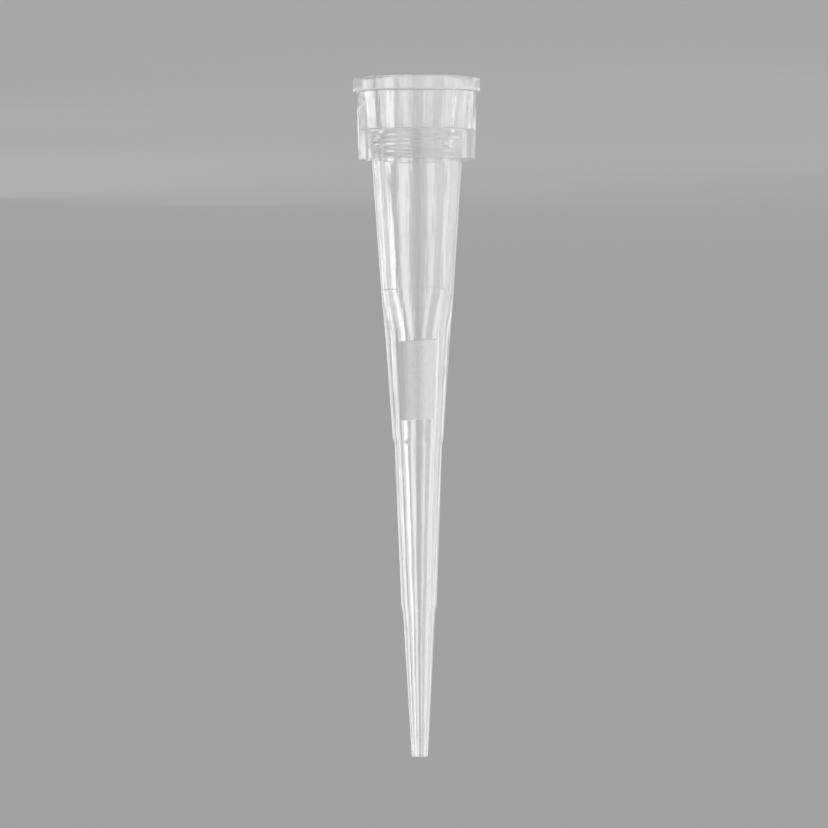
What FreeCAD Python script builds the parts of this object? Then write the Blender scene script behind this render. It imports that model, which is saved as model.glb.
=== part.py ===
"""Filtered pipette tip: a moulded polypropylene tip body with a porous filter plug in its bore.

Millimetres. The tip stands on its rim: Z = 0 is the plane of the rim, +Z runs along the axis
to the narrow end, and the axis is X = Y = 0. Both pieces are full turns about that axis, so
each one is an outline of (radius, height) corners carried round it.
"""
import FreeCAD, Part
import math
import os

# Whole tip: rim to narrow end.
TIP_LENGTH = 39.0

# Rim: the thick ring around the mouth, which the tip stands on.
RIM_RADIUS = 3.68
RIM_FOOT_RADIUS = 3.665
RIM_HEIGHT = 0.80
RIM_ROUNDING = 0.07

# Collar: barrelled outside, solid below the rim, and a skirt round the tube at its free edge.
COLLAR_ROOT_RADIUS = 3.425
COLLAR_MIDDLE = (3.413, 2.60)
COLLAR_BARREL_ROUNDING = 140.0
SKIRT_EDGE = (3.345, 4.72)
SKIRT_EDGE_ROUNDING = 0.05
SKIRT_WALL = 0.395

# Narrow gap between the skirt and the tube, open at the skirt's free edge.
GAP_ROOF_HEIGHT = 2.96
GAP_ROOF_ROUNDING = 0.06
GAP_ROOF_OUTER_RADIUS = 2.93
GAP_ROOF_INNER_RADIUS = 2.74

# Tube outside: plain cones between these (radius, height) places, with two short steps.
TUBE_START = (2.585, 4.80)
SEAT_CONE_START = (2.090, 12.20)
SEAT_CONE_END = (1.850, 15.00)
FIRST_STEP = ((1.462, 20.62), (1.359, 21.05))
SECOND_STEP = ((1.017, 30.26), (0.910, 30.81))
STEP_ROUNDING = 0.12
END_RADIUS = 0.465
END_ROUNDING = 0.05

# Socket for the pipette's nose: an open cone that ends in a short straight sealing land.
MOUTH_RADIUS = 2.34
MOUTH_ROUNDING = 0.15
LAND_RADIUS = 2.05
LAND_START = 2.96
LAND_LENGTH = 0.50

# Bore past the socket, narrowing in cones that end in the filter's seat.
LONG_CONE_START = (2.04, 4.30)
SEAT_CONE_BORE_START = (1.63, 12.15)
SEAT_START = (1.178, 14.70)
FILTER_START = 15.05
FILTER_LENGTH = 4.55
FILTER_START_RADIUS = 1.165
FILTER_END_RADIUS = 0.995
FILTER_EDGE_ROUNDING = 0.05
LOWER_BORE = ((0.92, 21.30), (0.60, 30.10))
NOZZLE_BORE_START = (0.53, 31.00)
ORIFICE_RADIUS = 0.29


def vector(place):
    """A (radius, height) place as a point of the half plane Y = 0."""
    return FreeCAD.Vector(place[0], 0, place[1])


def corner_arc(before, corner, after, rounding):
    """The arc of the given radius that rounds a corner, as its start, middle and end."""
    back = (before - corner).normalize()
    ahead = (after - corner).normalize()
    half_angle = back.getAngle(ahead) / 2
    reach = rounding / math.tan(half_angle)
    depth = rounding / math.sin(half_angle) - rounding
    bisector = (back + ahead).normalize()
    return corner + back * reach, corner + bisector * depth, corner + ahead * reach


def turned(outline):
    """The solid swept by one full turn of a closed outline of (radius, height, rounding)."""
    corners = [vector(place) for place in outline]
    edges = []
    stretches = []
    for index, corner in enumerate(corners):
        rounding = outline[index][2]
        if rounding:
            before = corners[index - 1]
            after = corners[(index + 1) % len(corners)]
            start, middle, end = corner_arc(before, corner, after, rounding)
            edges.append(Part.Arc(start, middle, end).toShape())
            stretches.append((start, end))
        else:
            stretches.append((corner, corner))
    for index, (start, end) in enumerate(stretches):
        next_start = stretches[(index + 1) % len(stretches)][0]
        edges.append(Part.LineSegment(end, next_start).toShape())
    face = Part.Face(Part.Wire(Part.__sortEdges__(edges)))
    return face.revolve(FreeCAD.Vector(0, 0, 0), FreeCAD.Vector(0, 0, 1), 360)


def outside_outline():
    """From the rim's outer edge, over the collar and the skirt's gap, to the narrow end."""
    skirt_inner_edge = (SKIRT_EDGE[0] - SKIRT_WALL, SKIRT_EDGE[1])
    rim_and_collar = [
        (RIM_RADIUS, 0, RIM_ROUNDING),
        (RIM_FOOT_RADIUS, RIM_HEIGHT, RIM_ROUNDING),
        (COLLAR_ROOT_RADIUS, RIM_HEIGHT, 0),
        (*COLLAR_MIDDLE, COLLAR_BARREL_ROUNDING),
        (*SKIRT_EDGE, SKIRT_EDGE_ROUNDING),
        (*skirt_inner_edge, SKIRT_EDGE_ROUNDING),
        (GAP_ROOF_OUTER_RADIUS, GAP_ROOF_HEIGHT, GAP_ROOF_ROUNDING),
        (GAP_ROOF_INNER_RADIUS, GAP_ROOF_HEIGHT, GAP_ROOF_ROUNDING),
    ]
    steps = [(*place, STEP_ROUNDING) for step in (FIRST_STEP, SECOND_STEP) for place in step]
    tube = [(*TUBE_START, 0), (*SEAT_CONE_START, 0), (*SEAT_CONE_END, 0), *steps]
    return rim_and_collar + tube + [(END_RADIUS, TIP_LENGTH, END_ROUNDING)]


def bore_outline():
    """From the orifice, back past the filter's seat and the socket, to the mouth."""
    return [
        (ORIFICE_RADIUS, TIP_LENGTH, 0),
        (*NOZZLE_BORE_START, 0),
        (*LOWER_BORE[1], 0),
        (*LOWER_BORE[0], 0),
        (FILTER_END_RADIUS, FILTER_START + FILTER_LENGTH, 0),
        (FILTER_START_RADIUS, FILTER_START, 0),
        (*SEAT_START, 0),
        (*SEAT_CONE_BORE_START, 0),
        (*LONG_CONE_START, 0),
        (LAND_RADIUS, LAND_START + LAND_LENGTH, 0),
        (LAND_RADIUS, LAND_START, 0),
        (MOUTH_RADIUS, 0, MOUTH_ROUNDING),
    ]


def make_tip_body():
    """The moulded body: rim, collar, stepped tube and the bore right through it."""
    return turned(outside_outline() + bore_outline())


def make_filter_plug():
    """The porous plug: it fills the bore's seat and takes the seat's taper."""
    filter_end = FILTER_START + FILTER_LENGTH
    return turned([
        (0, FILTER_START, 0),
        (FILTER_START_RADIUS, FILTER_START, FILTER_EDGE_ROUNDING),
        (FILTER_END_RADIUS, filter_end, FILTER_EDGE_ROUNDING),
        (0, filter_end, 0),
    ])


PIECES = {
    "tip_body": make_tip_body,
    "filter_plug": make_filter_plug,
}


def main():
    os.makedirs("parts", exist_ok=True)
    for name, make in PIECES.items():
        shape = make()
        shape.exportStep(f"parts/{name}.step")
        box = shape.BoundBox
        print(f"{name}: valid {shape.isValid()}, {len(shape.Solids)} solid,",
              f"{shape.Volume:.3f} mm3, z {box.ZMin:.3f} to {box.ZMax:.3f},",
              f"width {box.XLength:.3f}")


main()
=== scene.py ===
"""Looks of a filtered pipette tip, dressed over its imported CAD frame.

Blender units are metres. The tip stands on its rim at the origin, +Z up its axis to the narrow
end. Sizes below are millimetres, and MM turns them to metres.
"""
import bpy
import math
import numpy as np
from mathutils import Matrix, Vector


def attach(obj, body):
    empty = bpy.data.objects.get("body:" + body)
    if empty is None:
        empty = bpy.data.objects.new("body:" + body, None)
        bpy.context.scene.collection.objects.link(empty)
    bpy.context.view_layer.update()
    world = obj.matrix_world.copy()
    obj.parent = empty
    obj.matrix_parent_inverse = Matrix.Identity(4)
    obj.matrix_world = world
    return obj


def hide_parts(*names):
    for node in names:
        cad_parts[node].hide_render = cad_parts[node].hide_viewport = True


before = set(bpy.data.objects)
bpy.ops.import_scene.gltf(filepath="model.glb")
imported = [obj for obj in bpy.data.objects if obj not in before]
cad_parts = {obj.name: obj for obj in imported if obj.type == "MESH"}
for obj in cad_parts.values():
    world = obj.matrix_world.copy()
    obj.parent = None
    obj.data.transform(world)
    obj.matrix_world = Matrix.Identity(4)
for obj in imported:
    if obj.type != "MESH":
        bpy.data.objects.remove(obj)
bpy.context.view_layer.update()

MM = 0.001

# How fine the meshes are: steps round a full turn, in each rounding and along the plug.
TURN_STEPS = 240
ARC_STEPS = 6
PLUG_RINGS = 200

TIP_LENGTH = 39.0

# Rim, and the collar below it.
RIM_RADIUS = 3.68
RIM_FOOT_RADIUS = 3.665
RIM_HEIGHT = 0.80
RIM_ROUNDING = 0.07
COLLAR_ROOT_RADIUS = 3.425
COLLAR_ROOT_ROUNDING = 0.04
COLLAR_MIDDLE = (3.413, 2.60)
COLLAR_BARREL_ROUNDING = 140.0
SKIRT_EDGE = (3.345, 4.72)
SKIRT_EDGE_ROUNDING = 0.05
SKIRT_WALL = 0.395

# Gap between the skirt and the tube, with shallow rings round the tube inside it.
GAP_ROOF_HEIGHT = 2.96
GAP_ROOF_OUTER_RADIUS = 2.93
GAP_ROOF_INNER_RADIUS = 2.74
GAP_ROOF_ROUNDING = 0.06
GAP_RING_HEIGHTS = (3.42, 3.67, 3.93)
GAP_RING_VALLEY_RADIUS = 2.66
GAP_RING_STAND = 0.075
GAP_RING_ROUNDING = 0.05

# Tube outside: cones between these (radius, height) places, with two short steps.
TUBE_START = (2.585, 4.80)
TUBE_START_ROUNDING = 0.5
SEAT_CONE_START = (2.090, 12.20)
SEAT_CONE_START_ROUNDING = 1.0
SEAT_CONE_END = (1.850, 15.00)
SEAT_CONE_END_ROUNDING = 5.0
FIRST_STEP = ((1.462, 20.62), (1.359, 21.05))
SECOND_STEP = ((1.017, 30.26), (0.910, 30.81))
STEP_ROUNDING = 1.6
END_RADIUS = 0.465
END_ROUNDING = 0.05

# Socket for a pipette's nose.
MOUTH_RADIUS = 2.34
MOUTH_ROUNDING = 0.15
LAND_RADIUS = 2.05
LAND_START = 2.96
LAND_LENGTH = 0.50
LAND_ROUNDING = 0.3

# Bore past the socket. A fine ledge runs round it where the seat's cone starts.
LONG_CONE_START = (2.04, 4.30)
SEAT_CONE_BORE_START = (1.63, 12.15)
LEDGE_WIDTH = 0.02
LEDGE_HEIGHT = 0.03
LEDGE_ROUNDING = 0.02
SEAT_START = (1.178, 14.70)
UPPER_BORE_ROUNDING = 1.0
SEAT_END_ROUNDING = 2.0
LOWER_BORE = ((0.92, 21.30), (0.60, 30.10))
NOZZLE_BORE_START = (0.53, 31.00)
LOWER_BORE_ROUNDING = 0.5
ORIFICE_RADIUS = 0.29
ORIFICE_ROUNDING = 0.02

# Filter plug: its seat in the bore, the air between the two, its worn edges and the slant of
# its ends, which is a rise along Z for each step along X.
FILTER_START = 15.05
FILTER_LENGTH = 4.55
FILTER_START_RADIUS = 1.165
FILTER_END_RADIUS = 0.995
FILTER_AIR = 0.012
FILTER_EDGE = 0.06
FILTER_SKEW = 0.085
FILTER_POLE_RADIUS = 0.02

# Beads that the plug is sintered from, and the grit on them.
BEAD_SIZE = 0.15
BEAD_DEPTH = 0.022
BEAD_SEED = 7
BEAD_GRIT = 0.04
BEAD_GRIT_DEPTH = 0.012
BEAD_GRIT_STRENGTH = 0.6
BEAD_ROUGHNESS = 0.8

# Camera: its place from the tip's axis, and how far it leans over sideways.
CAMERA_LENS = 252.0
CAMERA_SENSOR = 36.0
CAMERA_DISTANCE = 333.2
CAMERA_HEIGHT = 19.31
CAMERA_OFFSET = 0.24
CAMERA_LEAN = -math.radians(0.287)
CAMERA_CLIP_NEAR = 10
CAMERA_CLIP_FAR = 10000

# Paper sweep: how far the floor reaches forwards, where it starts to bend, the bend's radius,
# the wall's top, and how far both reach to each side.
SWEEP_FRONT = -2000
SWEEP_BEND_START = 600
SWEEP_BEND_RADIUS = 400
SWEEP_BEND_STEPS = 24
SWEEP_TOP = 1800
SWEEP_HALF_WIDTH = 2000
SWEEP_DROP = 0.02
SWEEP_EVEN_SHARE = 0.75

# Soft light cards that stand on the floor: the two ends of each as (x, y), its height, and its
# brightness, where 1 renders as white.
LIGHT_CARDS = {
    "soft_strip_behind_left": ((9, 200), (24, 200), 120, 0.56),
    "strip_behind_left": ((37, 180), (37, 90), 120, 1.25),
    "gap_behind_left": ((37, 90), (37, 54), 120, 0.48),
    "panel_behind_left": ((37, 54), (37, 34), 120, 1.0),
    "fill_behind_left": ((37, 34), (37, 21), 120, 0.38),
    "soft_strip_behind_right": ((-12, 200), (-23, 200), 120, 0.43),
    "strip_behind_right": ((-37, 130), (-37, 75), 120, 0.52),
    "fill_behind_right": ((-37, 75), (-37, 17), 120, 0.32),
    "edge_side_right": ((-37, 17), (-37, -3), 120, 1.0),
    "fill_side_left": ((406, 109), (418, -37), 600, 0.5),
    "softbox_front_left": ((344, -241), (270, -322), 600, 1.2),
    "softbox_middle_left": ((270, -322), (144, -395), 600, 1.5),
    "fill_front_left": ((144, -395), (58, -416), 600, 0.8),
    "softbox_side_right": ((-418, -37), (-344, -241), 600, 1.58),
    "softbox_front_right": ((-344, -241), (-178, -381), 600, 1.45),
    "fill_front_right": ((-178, -381), (-58, -416), 600, 0.62),
}

# Feet of those cards, which lie on the floor towards the tip, so that light bent down in the
# walls still meets them: the direction in degrees from straight behind, which is positive to
# +X, the nearest and farthest reach, the width and the brightness.
CARD_FEET = {
    "foot_of_soft_strip_near": (4.7, 26, 60, 3.2, 0.56),
    "foot_of_soft_strip_middle": (4.7, 60, 120, 6.8, 0.56),
    "foot_of_soft_strip_far": (4.7, 120, 200, 12, 0.56),
    "foot_of_soft_right_near": (-5, 26, 60, 2.4, 0.43),
    "foot_of_soft_right_middle": (-5, 60, 120, 5, 0.43),
    "foot_of_soft_right_far": (-5, 120, 200, 9, 0.43),
    "foot_of_right_strip_near": (-21, 26, 45, 6.4, 0.52),
    "foot_of_right_strip_far": (-21, 45, 95, 13, 0.52),
    "foot_of_strip_near": (17, 26, 45, 6.5, 1.25),
    "foot_of_strip_far": (17, 45, 95, 13, 1.25),
    "foot_of_panel": (41, 26, 50, 8.5, 1.0),
    "foot_of_edge": (-78, 20, 36, 13, 1.0),
    "foot_of_edge_near": (-80, 5, 20, 6.5, 1.0),
    "foot_of_side_near": (80, 5, 20, 6.5, 1.0),
    "foot_of_side": (80, 20, 60, 20, 0.9),
}
CARD_ABOVE_FLOOR = 0.5
ROOM_BRIGHTNESS = 0.30

# Finishes of the moulded body: how clear, how rough, and how deep the polish lines are. The
# veil is densest in the thick rim, and the lines are deepest on the collar.
MOULDED_FINISHES = {
    "polypropylene_polished_tube": (0.77, 0.05, 0.006),
    "polypropylene_polished_inside": (0.96, 0.04, 0.006),
    "polypropylene_polished_collar": (0.80, 0.04, 0.012),
    "polypropylene_polished_rim": (0.65, 0.04, 0.001),
}
POLYPROPYLENE_IOR = 1.49
POLISH_LINE_WIDTH = 0.20
POLISH_LINE_STRETCH = 0.02
VEIL_CLOUD_WIDTH = 1.5
VEIL_SWING = 0.03
GLOSS_SWING = 0.2
SHADOW_PASS = 0.9

# The part of a noise's range that is spread over a whole swing, and of a bead's width that the
# painted shade runs over from bead to pore.
NOISE_RANGE = {"From Min": 0.3, "From Max": 0.7}
PORE_SHADE_RANGE = {"From Min": 0.35, "From Max": 0.75}

# Colours, as sRGB hex values.
BACKDROP_COLOUR = "a8a8a8"
BACKDROP_SHADE = "b0b0b0"
HORIZON_SHADE = "a0a0a0"
POLYPROPYLENE_COLOUR = "f8f8f8"
SHADOW_TINT = "fcfcfc"
FILTER_COLOUR = "d6d6d6"
# Painted shade: the darker grey that the plug's white turns to in the pores between its beads.
FILTER_PORE_SHADE = "cccccc"


def linear(hex_colour):
    """An sRGB hex value as linear red, green, blue and full alpha."""
    values = [int(hex_colour[place:place + 2], 16) / 255 for place in (0, 2, 4)]
    return [v / 12.92 if v <= 0.04045 else ((v + 0.055) / 1.055) ** 2.4 for v in values] + [1.0]


def bare_tree(owner):
    """The node tree of a new material or world, with nothing in it."""
    owner.use_nodes = True
    owner.node_tree.nodes.clear()
    return owner.node_tree


def add_node(tree, kind, settings=None, links=None):
    """Add one shader node, with its settings and the sockets that feed it.

    A setting is a socket's name or number, or one of the node's own properties.
    """
    node = tree.nodes.new(kind)
    for name, value in (settings or {}).items():
        if isinstance(name, int) or name in node.inputs:
            node.inputs[name].default_value = value
        else:
            setattr(node, name, value)
    for name, source in (links or {}).items():
        tree.links.new(source, node.inputs[name])
    return node


def rounded_profile(outline):
    """Points along a closed outline of (radius, height, rounding) corners, with unit normals.

    Each rounding is the arc that touches both stretches at its corner, and the point at angle
    a along it is its centre plus the rounding times (cos a, sin a).
    """
    corners = np.array([place[:2] for place in outline], float)
    points = []
    for index, corner in enumerate(corners):
        rounding = outline[index][2]
        back = corners[index - 1] - corner
        ahead = corners[(index + 1) % len(corners)] - corner
        back /= np.linalg.norm(back)
        ahead /= np.linalg.norm(ahead)
        half_angle = math.acos(np.clip(back @ ahead, -1, 1)) / 2
        bisector = (back + ahead) / np.linalg.norm(back + ahead)
        centre = corner + bisector * rounding / math.sin(half_angle)
        start = corner + back * rounding / math.tan(half_angle) - centre
        end = corner + ahead * rounding / math.tan(half_angle) - centre
        turn = math.atan2(start[0] * end[1] - start[1] * end[0], start @ end)
        angles = math.atan2(start[1], start[0]) + turn * np.linspace(0, 1, ARC_STEPS)
        spokes = np.stack([np.cos(angles), np.sin(angles)], 1)
        outward = spokes * np.sign(turn)
        points.append(np.hstack([centre + rounding * spokes, outward]))
    return np.vstack(points)


def turned_mesh(profile, closed=True):
    """Carry a profile of (radius, height, normal's radius, normal's height) once round Z.

    The point at place s and angle a is (r(s) cos a, r(s) sin a, z(s)), and its normal is the
    profile's normal turned by the same angle. An open profile is closed by one point on the
    axis at each end.
    """
    angles = np.linspace(0, 2 * math.pi, TURN_STEPS, endpoint=False)
    around = np.stack([np.cos(angles), np.sin(angles)], 1)
    radius, height, normal_r, normal_z = profile.T
    count = len(profile)
    places = np.empty((count, TURN_STEPS, 3))
    places[..., :2] = radius[:, None, None] * around
    places[..., 2] = height[:, None]
    normals = np.empty_like(places)
    normals[..., :2] = normal_r[:, None, None] * around
    normals[..., 2] = normal_z[:, None]
    rows = count if closed else count - 1
    ring, step = np.meshgrid(np.arange(rows), np.arange(TURN_STEPS), indexing="ij")
    here = ring * TURN_STEPS
    above = (ring + 1) % count * TURN_STEPS
    next_step = (step + 1) % TURN_STEPS
    faces = np.stack([here + step, here + next_step, above + next_step, above + step], -1)
    faces = faces.reshape(-1, 4).tolist()
    places = places.reshape(-1, 3)
    normals = normals.reshape(-1, 3)
    if not closed:
        last = (count - 1) * TURN_STEPS
        low, high = len(places), len(places) + 1
        places = np.vstack([places, (0, 0, height[0]), (0, 0, height[-1])])
        normals = np.vstack([normals, (0, 0, -1), (0, 0, 1)])
        pairs = [(turn, (turn + 1) % TURN_STEPS) for turn in range(TURN_STEPS)]
        faces += [(low, after, before) for before, after in pairs]
        faces += [(high, last + before, last + after) for before, after in pairs]
    return places * MM, normals, faces


def finish_piece(name, places, normals, faces, materials, slot, *nodes):
    """Make the mesh object, give it its finishes and hang it on the frame."""
    mesh = bpy.data.meshes.new(name)
    mesh.from_pydata(places, [], faces)
    mesh.validate()
    mesh.shade_smooth()
    if normals is not None:
        mesh.normals_split_custom_set_from_vertices(normals)
    for material in materials:
        mesh.materials.append(material)
    piece = bpy.data.objects.new(name, mesh)
    bpy.context.scene.collection.objects.link(piece)
    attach(piece, "root")
    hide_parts(*nodes)
    return piece


def gap_rings():
    """Crests and valleys of the shallow rings, as more corners of the body's outline."""
    half_pitch = (GAP_RING_HEIGHTS[1] - GAP_RING_HEIGHTS[0]) / 2
    crest_radius = GAP_RING_VALLEY_RADIUS + GAP_RING_STAND
    corners = []
    for height in GAP_RING_HEIGHTS:
        corners.append((GAP_RING_VALLEY_RADIUS, height - half_pitch, GAP_RING_ROUNDING))
        corners.append((crest_radius, height, GAP_RING_ROUNDING))
    corners.append((GAP_RING_VALLEY_RADIUS, GAP_RING_HEIGHTS[-1] + half_pitch, GAP_RING_ROUNDING))
    return corners


def outside_outline():
    """From the rim's outer edge, over the collar and the skirt's gap, to the narrow end."""
    skirt_inner_edge = (SKIRT_EDGE[0] - SKIRT_WALL, SKIRT_EDGE[1])
    return [
        (RIM_RADIUS, 0, RIM_ROUNDING),
        (RIM_FOOT_RADIUS, RIM_HEIGHT, RIM_ROUNDING),
        (COLLAR_ROOT_RADIUS, RIM_HEIGHT, COLLAR_ROOT_ROUNDING),
        (*COLLAR_MIDDLE, COLLAR_BARREL_ROUNDING),
        (*SKIRT_EDGE, SKIRT_EDGE_ROUNDING),
        (*skirt_inner_edge, SKIRT_EDGE_ROUNDING),
        (GAP_ROOF_OUTER_RADIUS, GAP_ROOF_HEIGHT, GAP_ROOF_ROUNDING),
        (GAP_ROOF_INNER_RADIUS, GAP_ROOF_HEIGHT, GAP_ROOF_ROUNDING),
        *gap_rings(),
        (*TUBE_START, TUBE_START_ROUNDING),
        (*SEAT_CONE_START, SEAT_CONE_START_ROUNDING),
        (*SEAT_CONE_END, SEAT_CONE_END_ROUNDING),
        *[(*place, STEP_ROUNDING) for step in (FIRST_STEP, SECOND_STEP) for place in step],
        (END_RADIUS, TIP_LENGTH, END_ROUNDING),
    ]


def bore_outline():
    """From the orifice, back past the filter's seat and the socket, to the mouth."""
    ledge_radius, ledge_height = SEAT_CONE_BORE_START
    return [
        (ORIFICE_RADIUS, TIP_LENGTH, ORIFICE_ROUNDING),
        (*NOZZLE_BORE_START, LOWER_BORE_ROUNDING),
        (*LOWER_BORE[1], LOWER_BORE_ROUNDING),
        (*LOWER_BORE[0], LOWER_BORE_ROUNDING),
        (FILTER_END_RADIUS, FILTER_START + FILTER_LENGTH, SEAT_END_ROUNDING),
        (FILTER_START_RADIUS, FILTER_START, UPPER_BORE_ROUNDING),
        (*SEAT_START, UPPER_BORE_ROUNDING),
        (ledge_radius, ledge_height, LEDGE_ROUNDING),
        (ledge_radius + LEDGE_WIDTH, ledge_height - LEDGE_HEIGHT, LEDGE_ROUNDING),
        (*LONG_CONE_START, UPPER_BORE_ROUNDING),
        (LAND_RADIUS, LAND_START + LAND_LENGTH, LAND_ROUNDING),
        (LAND_RADIUS, LAND_START, LAND_ROUNDING),
        (MOUTH_RADIUS, 0, MOUTH_ROUNDING),
    ]


def make_tip_body(materials):
    """The moulded body, with a finish each for its tube, inside, collar and rim.

    The inside is the bore and the skirt's gap, and the collar's finish runs on down the
    skirt's outer face.
    """
    outside = outside_outline()
    profile = rounded_profile(outside + bore_outline())
    places, normals, faces = turned_mesh(profile)
    piece = finish_piece("tip_body_shell", places, normals, faces, materials,
                         "natural_polypropylene", "tip_body")
    middles = places[np.array(faces)].mean(axis=1)
    radii = np.hypot(middles[:, 0], middles[:, 1])
    heights = middles[:, 2]
    bore = np.arange(len(faces)) >= len(outside) * ARC_STEPS * TURN_STEPS
    gap = heights < SKIRT_EDGE[1] * MM
    collar = (heights < GAP_ROOF_HEIGHT * MM) | (radii > (SKIRT_EDGE[0] - SKIRT_WALL / 2) * MM)
    rim = heights < RIM_HEIGHT * MM
    finish = np.select([rim, collar, bore | gap], [3, 2, 1], 0)
    piece.data.polygons.foreach_set("material_index", finish)


def plug_meridian():
    """Out along one end of the plug, down its side and in along the other end."""
    start_radius = FILTER_START_RADIUS - FILTER_AIR
    end_radius = FILTER_END_RADIUS - FILTER_AIR
    end_height = FILTER_START + FILTER_LENGTH
    corners = np.array([
        (FILTER_POLE_RADIUS, FILTER_START),
        (start_radius - FILTER_EDGE, FILTER_START),
        (start_radius, FILTER_START + FILTER_EDGE),
        (end_radius, end_height - FILTER_EDGE),
        (end_radius - FILTER_EDGE, end_height),
        (FILTER_POLE_RADIUS, end_height),
    ])
    lengths = np.linalg.norm(np.diff(corners, axis=0), axis=1)
    along = np.concatenate([[0], np.cumsum(lengths)])
    stations = np.linspace(0, along[-1], PLUG_RINGS)
    return np.stack([np.interp(stations, along, corners[:, 0]),
                     np.interp(stations, along, corners[:, 1])], 1)


def bead_relief(places):
    """How far each place lies below the beads' crests, from 0 to 1.

    Space is cut in cubes one bead wide, and each cube holds a bead at a random place. With d
    the distance to the nearest bead's middle, in beads, the depth is 1 - sqrt(1 - d^2), the
    drop of a ball's surface, and 1 where d is 1 or more.
    """
    spot = places / (BEAD_SIZE * MM)
    cell = np.floor(spot).astype(int)
    low = cell.min(axis=0) - 1
    span = cell.max(axis=0) - low + 2
    beads = np.random.default_rng(BEAD_SEED).random((*span, 3))
    nearest = np.full(len(spot), np.inf)
    for step in np.ndindex(3, 3, 3):
        beside = cell + np.array(step) - 1
        middle = beside + beads[tuple((beside - low).T)]
        nearest = np.minimum(nearest, np.linalg.norm(spot - middle, axis=1))
    return 1 - np.sqrt(np.clip(1 - nearest ** 2, 0, 1))


def make_filter_plug(material):
    """The sintered plug: a turned cone, sunk between its beads and cut a little askew.

    Each place moves inwards along its normal by the bead depth times the relief, and then up
    Z by the skew times its X, so both ends slant.
    """
    meridian = plug_meridian()
    tangent = np.gradient(meridian, axis=0)
    tangent /= np.linalg.norm(tangent, axis=1)[:, None]
    profile = np.hstack([meridian, tangent[:, 1:], -tangent[:, :1]])
    places, normals, faces = turned_mesh(profile, closed=False)
    places = places - normals * (BEAD_DEPTH * MM * bead_relief(places))[:, None]
    places[:, 2] += FILTER_SKEW * places[:, 0]
    finish_piece("filter_plug_sintered", places, None, faces, [material],
                 "porous_polyethylene", "filter_plug")


def moulded_polypropylene(name, clearness, roughness, line_depth):
    """Natural polypropylene, injection-moulded: uncoloured and see-through with a milky veil.

    The veil comes from the plastic's fine crystals, and is a little denser in some places than
    in others. The mould was polished along its length, which leaves faint lines that way, so
    the streaks of light in the wall are broken into finer ones. Real lines lie a few hundredths
    of a millimetre apart, and they are drawn several times wider here so that they show.
    """
    material = bpy.data.materials.new(name)
    tree = bare_tree(material)
    place = add_node(tree, "ShaderNodeTexCoord").outputs["Object"]
    drawn_out = add_node(tree, "ShaderNodeMapping", {"Scale": (1, 1, POLISH_LINE_STRETCH)},
                         {"Vector": place})
    lines = add_node(tree, "ShaderNodeTexNoise",
                     {"Scale": 1 / (POLISH_LINE_WIDTH * MM), "Detail": 2.0, "Roughness": 0.6},
                     {"Vector": drawn_out.outputs[0]})
    relief = add_node(tree, "ShaderNodeBump", {"Strength": 1.0, "Distance": line_depth * MM},
                      {"Height": lines.outputs[0]})
    cloud = add_node(tree, "ShaderNodeTexNoise",
                     {"Scale": 1 / (VEIL_CLOUD_WIDTH * MM), "Detail": 3.0},
                     {"Vector": drawn_out.outputs[0]})
    clear = add_node(tree, "ShaderNodeMapRange",
                     {**NOISE_RANGE, "To Min": clearness - VEIL_SWING,
                      "To Max": clearness + VEIL_SWING},
                     {"Value": cloud.outputs[0]})
    gloss = add_node(tree, "ShaderNodeMapRange",
                     {**NOISE_RANGE, "To Min": roughness * (1 - GLOSS_SWING),
                      "To Max": roughness * (1 + GLOSS_SWING)},
                     {"Value": lines.outputs[0]})
    plastic = add_node(tree, "ShaderNodeBsdfPrincipled",
                       {"Base Color": linear(POLYPROPYLENE_COLOUR), "IOR": POLYPROPYLENE_IOR},
                       {"Transmission Weight": clear.outputs[0], "Roughness": gloss.outputs[0],
                        "Normal": relief.outputs[0]})
    # Most of the cards' light goes through to the plug and the floor, as it does in a thin wall.
    shadow = add_node(tree, "ShaderNodeBsdfTransparent", {"Color": linear(SHADOW_TINT)})
    path = add_node(tree, "ShaderNodeLightPath")
    share = add_node(tree, "ShaderNodeMath", {"operation": "MULTIPLY", 1: SHADOW_PASS},
                     {0: path.outputs["Is Shadow Ray"]})
    mixed = add_node(tree, "ShaderNodeMixShader", None,
                     {"Fac": share.outputs[0], 1: plastic.outputs[0], 2: shadow.outputs[0]})
    add_node(tree, "ShaderNodeOutputMaterial", None, {"Surface": mixed.outputs[0]})
    return material


def sintered_polyethylene():
    """Porous polyethylene, sintered from beads of about 0.15 mm: matt, white and granular.

    The gaps between the beads are pores, and painted shade darkens the colour towards them from
    each bead's middle. The grit on the beads is a few hundredths of a millimetre wide, and shows
    only close by.
    """
    material = bpy.data.materials.new("porous_polyethylene_sintered")
    tree = bare_tree(material)
    place = add_node(tree, "ShaderNodeTexCoord").outputs["Object"]
    beads = add_node(tree, "ShaderNodeTexVoronoi", {"Scale": 1 / (BEAD_SIZE * MM)},
                     {"Vector": place})
    # Painted shade, darkening the colour from each bead's middle out to the pores between beads.
    shade = add_node(tree, "ShaderNodeMapRange", PORE_SHADE_RANGE,
                     {"Value": beads.outputs["Distance"]})
    colour = add_node(tree, "ShaderNodeMixRGB",
                      {"Color1": linear(FILTER_COLOUR), "Color2": linear(FILTER_PORE_SHADE)},
                      {"Fac": shade.outputs[0]})
    grit = add_node(tree, "ShaderNodeTexNoise", {"Scale": 1 / (BEAD_GRIT * MM), "Detail": 2.0},
                    {"Vector": place})
    relief = add_node(tree, "ShaderNodeBump",
                      {"Strength": BEAD_GRIT_STRENGTH, "Distance": BEAD_GRIT_DEPTH * MM},
                      {"Height": grit.outputs[0]})
    plastic = add_node(tree, "ShaderNodeBsdfPrincipled", {"Roughness": BEAD_ROUGHNESS},
                       {"Base Color": colour.outputs[0], "Normal": relief.outputs[0]})
    add_node(tree, "ShaderNodeOutputMaterial", None, {"Surface": plastic.outputs[0]})
    return material


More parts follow.
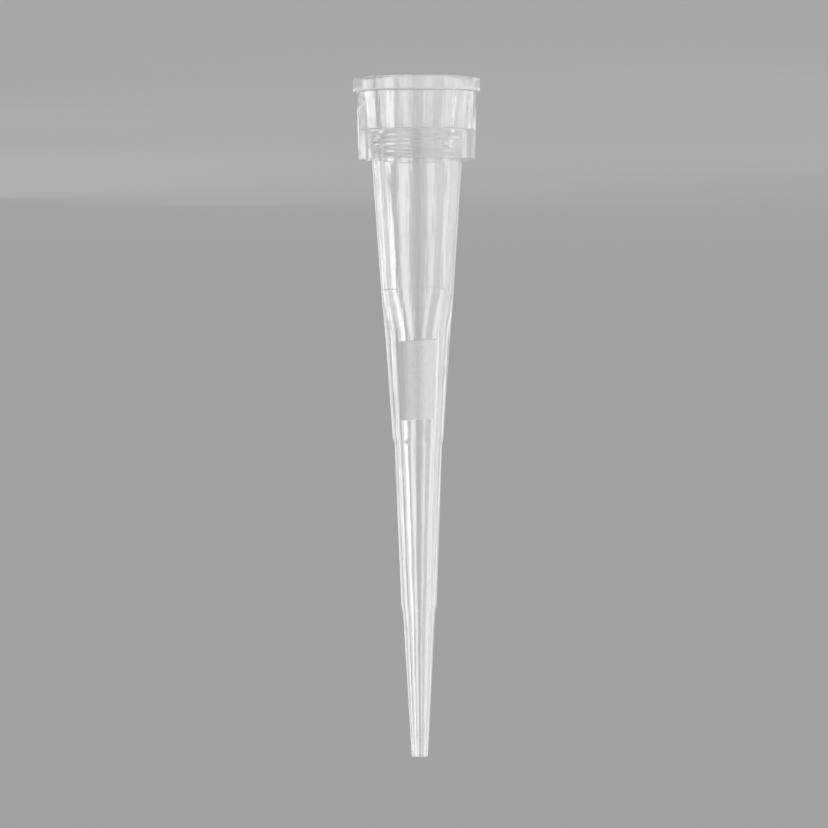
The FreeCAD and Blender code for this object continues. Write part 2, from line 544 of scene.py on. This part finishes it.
def backdrop_material():
    """Matt paper. Most of its shade is even wherever it is seen, so floor and wall match."""
    material = bpy.data.materials.new("paper_sweep")
    tree = bare_tree(material)
    paper = add_node(tree, "ShaderNodeBsdfDiffuse", {"Color": linear(BACKDROP_COLOUR)})
    even = add_node(tree, "ShaderNodeEmission", {"Color": linear(BACKDROP_SHADE)})
    path = add_node(tree, "ShaderNodeLightPath")
    looked_at = add_node(tree, "ShaderNodeMath", {"operation": "MAXIMUM"},
                         {0: path.outputs["Is Camera Ray"], 1: path.outputs["Is Glossy Ray"]})
    seen = add_node(tree, "ShaderNodeMath", {"operation": "MAXIMUM"},
                    {0: looked_at.outputs[0], 1: path.outputs["Is Transmission Ray"]})
    share = add_node(tree, "ShaderNodeMath", {"operation": "MULTIPLY", 1: SWEEP_EVEN_SHARE},
                     {0: seen.outputs[0]})
    mixed = add_node(tree, "ShaderNodeMixShader", None,
                     {"Fac": share.outputs[0], 1: paper.outputs[0], 2: even.outputs[0]})
    add_node(tree, "ShaderNodeOutputMaterial", None, {"Surface": mixed.outputs[0]})
    return material


def make_sweep(material):
    """The floor, which bends up into a wall behind: a profile carried sideways along X.

    The point at angle a of the bend lies the radius times sin a behind the bend's start, and
    the radius times 1 - cos a above the floor. The floor lies just below the tip's rim.
    """
    bend = np.linspace(0, math.pi / 2, SWEEP_BEND_STEPS)
    behind = SWEEP_BEND_START + SWEEP_BEND_RADIUS * np.sin(bend)
    rise = SWEEP_BEND_RADIUS - SWEEP_BEND_RADIUS * np.cos(bend)
    y = np.concatenate([[SWEEP_FRONT], behind, behind[-1:]])
    z = np.concatenate([[0], rise, [SWEEP_TOP]]) - SWEEP_DROP
    x = np.array([-SWEEP_HALF_WIDTH, SWEEP_HALF_WIDTH])
    places = np.stack([np.tile(x, len(y)), np.repeat(y, 2), np.repeat(z, 2)], 1) * MM
    rows = np.arange(len(y) - 1)[:, None] * 2
    faces = rows + np.array([0, 1, 3, 2])
    mesh = bpy.data.meshes.new("paper_sweep")
    mesh.from_pydata(places.tolist(), [], faces.tolist())
    mesh.shade_smooth()
    mesh.materials.append(material)
    sweep = bpy.data.objects.new("paper_sweep", mesh)
    bpy.context.scene.collection.objects.link(sweep)


def add_card(name, middle, axes, width, height, brightness):
    """One card of light, in metres. Its axes are its width, its height and its back's facing."""
    light = bpy.data.lights.new(name, "AREA")
    light.shape = "RECTANGLE"
    light.size = width
    light.size_y = height
    light.energy = math.pi * width * height * brightness
    lamp = bpy.data.objects.new(name, light)
    lamp.matrix_world = Matrix.Translation(middle) @ Matrix(axes).transposed().to_4x4()
    lamp.visible_camera = False
    bpy.context.scene.collection.objects.link(lamp)


def add_upright_card(name, start, end, top, brightness):
    """A card of light that stands between two places on the floor and faces the tip."""
    start = Vector((*start, 0)) * MM
    end = Vector((*end, 0)) * MM
    height = (top - CARD_ABOVE_FLOOR) * MM
    along = (end - start).normalized()
    up = Vector((0, 0, 1))
    away = along.cross(up)
    middle = (start + end) / 2 + up * (CARD_ABOVE_FLOOR * MM + height / 2)
    if away.dot(middle) < 0:
        along, away = -along, -away
    add_card(name, middle, (along, up, away), (end - start).length, height, brightness)


def add_card_foot(name, direction, near, far, width, brightness):
    """A card of light that lies on the floor, face up, and reaches away from the tip."""
    out = Vector((math.sin(math.radians(direction)), math.cos(math.radians(direction)), 0))
    down = Vector((0, 0, -1))
    middle = (out * (near + far) / 2 - down * CARD_ABOVE_FLOOR) * MM
    axes = (out.cross(down), out, down)
    add_card(name, middle, axes, width * MM, (far - near) * MM, brightness)


def set_world():
    """An even glow on all sides, which has the floor's shade where it is looked at directly."""
    world = bpy.data.worlds.new("room")
    tree = bare_tree(world)
    glow = add_node(tree, "ShaderNodeBackground",
                    {"Color": (1, 1, 1, 1), "Strength": ROOM_BRIGHTNESS})
    far = add_node(tree, "ShaderNodeBackground", {"Color": linear(HORIZON_SHADE)})
    seen = add_node(tree, "ShaderNodeLightPath").outputs["Is Camera Ray"]
    mixed = add_node(tree, "ShaderNodeMixShader", None,
                     {"Fac": seen, 1: glow.outputs[0], 2: far.outputs[0]})
    add_node(tree, "ShaderNodeOutputWorld", None, {"Surface": mixed.outputs[0]})
    bpy.context.scene.world = world


def set_camera():
    """A long lens at mid height, turned over so that the tip shows narrow end down."""
    camera = bpy.data.cameras.new("camera")
    camera.lens = CAMERA_LENS
    camera.sensor_width = CAMERA_SENSOR
    camera.clip_start = CAMERA_CLIP_NEAR * MM
    camera.clip_end = CAMERA_CLIP_FAR * MM
    holder = bpy.data.objects.new("camera", camera)
    right = Vector((-1, 0, 0))
    up = Vector((0, 0, -1))
    back = Vector((0, -1, 0))
    turned = Matrix((right, up, back)).transposed().to_4x4()
    lean = Matrix.Rotation(CAMERA_LEAN, 4, "Z")
    place = Matrix.Translation(Vector((CAMERA_OFFSET, -CAMERA_DISTANCE, CAMERA_HEIGHT)) * MM)
    holder.matrix_world = place @ turned @ lean
    bpy.context.scene.collection.objects.link(holder)
    bpy.context.scene.camera = holder
    bpy.context.scene.view_settings.view_transform = "Standard"


make_tip_body([moulded_polypropylene(name, *finish) for name, finish in MOULDED_FINISHES.items()])
make_filter_plug(sintered_polyethylene())
make_sweep(backdrop_material())
for name, (start, end, top, brightness) in LIGHT_CARDS.items():
    add_upright_card(name, start, end, top, brightness)
for name, setting in CARD_FEET.items():
    add_card_foot(name, *setting)
set_world()
set_camera()
